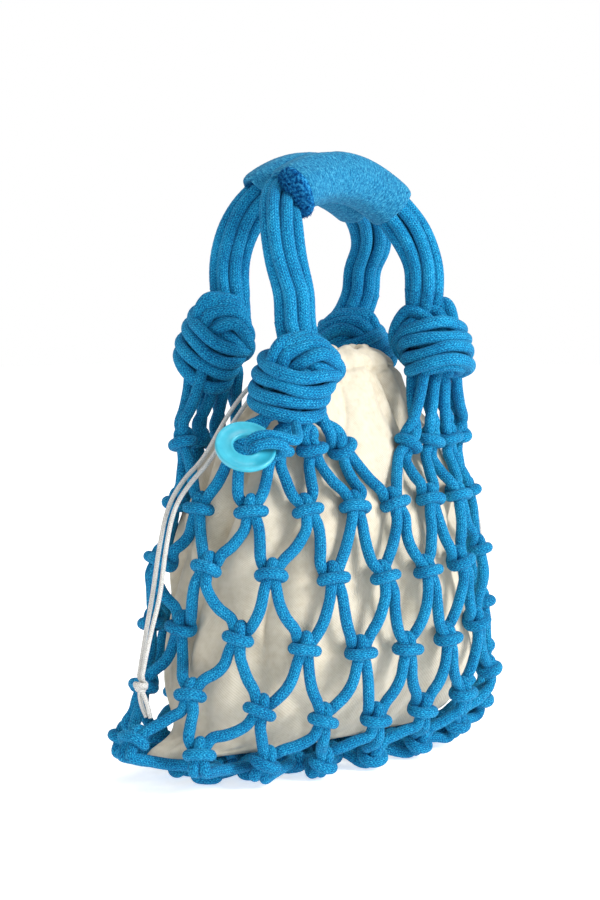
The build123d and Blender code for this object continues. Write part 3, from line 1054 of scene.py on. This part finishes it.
def make_drawstrings():
    for side in ("left", "right"):
        knot = make_string_knot(side)
        for place in ("front", "rear"):
            node = f"{side}_drawstring_{place}_strand"
            line, length = route_line(STRING_ROUTES[node], STRING_STEP)
            piece = cord_mesh(f"{node}_braid", line, STRING_RADIUS, STRING_SIDES, STRING_STEP)
            dress(piece, WHITE_STRING, node, "net")
            tuple(line[0])


# Way of a string through the knot at its end: along, outward and down, in millimetres
STRING_KNOT = [(-1.2, -1, -3), (2.6, -2.4, -0.5), (3.4, 0.8, 0.6), (0, 3.1, 0.4), (-3.4, 1.2, -0.6),
               (-2.6, -2.2, 1.2), (1.4, -1.6, 3.4), (1.6, 1.6, 2.6), (0.3, 1.2, -1), (-1, -0.3, 3.5),
               (-2.2, 0, 7), (-2.8, 0.4, 13), (-1.8, 0.4, 19)]


def make_string_knot(side):
    """Overhand knot of the two strands of a drawstring, with its two tails."""
    tubes = Tubes()
    ends = [np.array(STRING_ROUTES[f"{side}_drawstring_{place}_strand"][-1], float)
            for place in ("front", "rear")]
    middle = (ends[0] + ends[1]) / 2 - 5 * UP
    outward = -1 if side == "left" else 1
    for end, mirror in zip(ends, (1, -1)):
        points = [(end + UP) * MM]
        for along, out, down in STRING_KNOT:
            lean = max(0, down - 4) / 15
            step = np.array((outward * (out - 1.5 * lean), along * mirror - 6 * lean, -down))
            points.append((middle + step) * MM)
        line, _ = smooth_line(points, STRING_STEP, relax=2)
        tubes.add_rings(braided_rings(line, STRING_RADIUS * 0.97, STRING_SIDES),
                        np.arange(len(line)) * STRING_STEP, True, True)
    piece = tubes.build(f"{side}_drawstring_knot_braid")
    dress(piece, WHITE_STRING, f"{side}_drawstring_knot", "net")
    return piece


# ---- tag
def tag_material():
    paint = Paint("tag enamel")
    cloud = paint.noise(160, 5)
    paint.colour(cloud, [(0.3, (0.022, 0.36, 0.50)), (0.6, (0.035, 0.43, 0.57)), (0.8, (0.06, 0.50, 0.64))])
    paint.relief(cloud, 0.15, 0.3 * MM)
    return paint.surface(Roughness=0.42, Coat_Weight=0.25, Coat_Roughness=0.2)


TAG_RADIUS = 18.2
TAG_HOLE = 7.5
TAG_THICKNESS = 3.5
TAG_FACING = math.radians(33)
TAG_TILT = math.radians(43)


def tag_axes():
    level = np.array((-math.sin(TAG_FACING), -math.cos(TAG_FACING), 0))
    right = np.array((math.cos(TAG_FACING), -math.sin(TAG_FACING), 0))
    c, s = math.cos(TAG_TILT), math.sin(TAG_TILT)
    return right, UP * c - level * s, level * c + UP * s


def tag_centre():
    low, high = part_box("tag_ring")
    return np.array((low + high) / 2)


def make_tag():
    """Ring tag with rounded rims and a shallow bead round each edge of its faces."""
    right, up, outward = tag_axes()
    half = TAG_THICKNESS / 2
    profile = [(TAG_HOLE, -half + 0.8), (TAG_HOLE, half - 0.8), (TAG_HOLE + 0.25, half - 0.2),
               (TAG_HOLE + 0.8, half), (TAG_HOLE + 1.6, half), (TAG_HOLE + 2.0, half - 0.35),
               (TAG_RADIUS - 2.4, half - 0.35), (TAG_RADIUS - 2.0, half), (TAG_RADIUS - 0.8, half),
               (TAG_RADIUS - 0.25, half - 0.2), (TAG_RADIUS, half - 0.8), (TAG_RADIUS, -half + 0.8),
               (TAG_RADIUS - 0.25, -half + 0.2), (TAG_RADIUS - 0.8, -half), (TAG_HOLE + 0.8, -half),
               (TAG_HOLE + 0.25, -half + 0.2), (TAG_HOLE, -half + 0.8)]
    centre = tag_centre()
    rings = np.array([[centre + MM * (radius * (math.cos(t) * right + math.sin(t) * up) + depth * outward)
                       for t in turns_of(96)] for radius, depth in profile])
    tubes = Tubes()
    tubes.add_rings(rings[::-1], np.arange(len(profile)) * 1.0 * MM)
    piece = tubes.build("tag_ring_enamel")
    dress(piece, tag_material(), "tag_ring", "tag")


def make_tag_tie():
    """Cord from under the front left knot through the ring, round its rim and back on itself."""
    right, up, outward = tag_axes()
    pivot = tag_centre() + right * (TAG_RADIUS + TAG_HOLE) / 2 * MM

    def beside(along, above, forward):
        return pivot + MM * (along * right + above * up + forward * outward)

    points = [np.array((-57, -47, 226)) * MM, np.array((-63, -52, 219)) * MM, beside(18, 3.5, 1),
              beside(9, 2.5, 5), beside(-1, 3, 7), beside(-8, 2.6, 5), beside(-10.5, 2.2, 0),
              beside(-8, 0.4, -6), beside(0, -1, -7.4), beside(8.5, -2, -5.5), beside(10.5, -2.5, 0),
              beside(7, -3, 5.2), beside(-1, -3.2, 6.6), beside(-7.4, -3.4, 4.6),
              beside(-8.8, -2.8, -1)]
    line, _ = smooth_line(points, CORD_STEP, relax=4)
    piece = cord_mesh("tag_tie_braid", line, TIE_RADIUS, CORD_SIDES, CORD_STEP)
    dress(piece, TIE_CORD, "tag_tie", "net")


# ---- stage
def make_stage():
    bpy.ops.mesh.primitive_plane_add(size=1, location=(0, 0, -0.0004))
    floor = bpy.context.object
    floor.name = "floor"
    floor.scale = (12, 12, 1)
    floor.data.materials.append(Paint("pale floor").surface(
        Base_Color=(0.92, 0.92, 0.93, 1), Roughness=0.9, Emission_Color=(1, 1, 1, 1),
        Emission_Strength=FLOOR_LIGHT))

    world = bpy.data.worlds.new("studio")
    bpy.context.scene.world = world
    world.use_nodes = True
    tree = world.node_tree
    seen = Value(tree, tree.nodes.new("ShaderNodeLightPath").outputs["Is Camera Ray"])
    colour, strength = tree.nodes["Background"].inputs[:2]
    tree.links.new((seen * (1 - STUDIO_LIGHT) + STUDIO_LIGHT).socket, strength)
    colour.default_value = (1, 1, 1, 1)
    for name, place, size, power in LAMPS:
        light = bpy.data.lights.new(name, "AREA")
        light.energy = power
        light.size = size
        lamp = bpy.data.objects.new(name, light)
        lamp.location = place
        lamp.rotation_euler = (Vector((0, 0, 0.2)) - Vector(place)).to_track_quat("-Z", "Y").to_euler()
        bpy.context.scene.collection.objects.link(lamp)
    bpy.context.scene.view_settings.view_transform = "Standard"


def make_camera():
    camera = bpy.data.cameras.new("camera")
    camera.lens = LENS
    camera.sensor_fit = "VERTICAL"
    camera.sensor_height = 36
    back = Vector((math.sin(VIEW_AZIMUTH) * math.cos(VIEW_ELEVATION),
                   -math.cos(VIEW_AZIMUTH) * math.cos(VIEW_ELEVATION), math.sin(VIEW_ELEVATION)))
    viewer = bpy.data.objects.new("camera", camera)
    viewer.location = VIEW_TARGET + back * VIEW_DISTANCE
    viewer.rotation_euler = back.to_track_quat("Z", "Y").to_euler()
    bpy.context.scene.collection.objects.link(viewer)
    bpy.context.scene.camera = viewer


make_stage()
make_camera()
make_drawstrings()
make_net()
for handle in ("front", "rear"):
    make_handle_cords(handle)
    make_grip(handle)
    make_padding(handle)
make_pouch()
make_tag()
make_tag_tie()
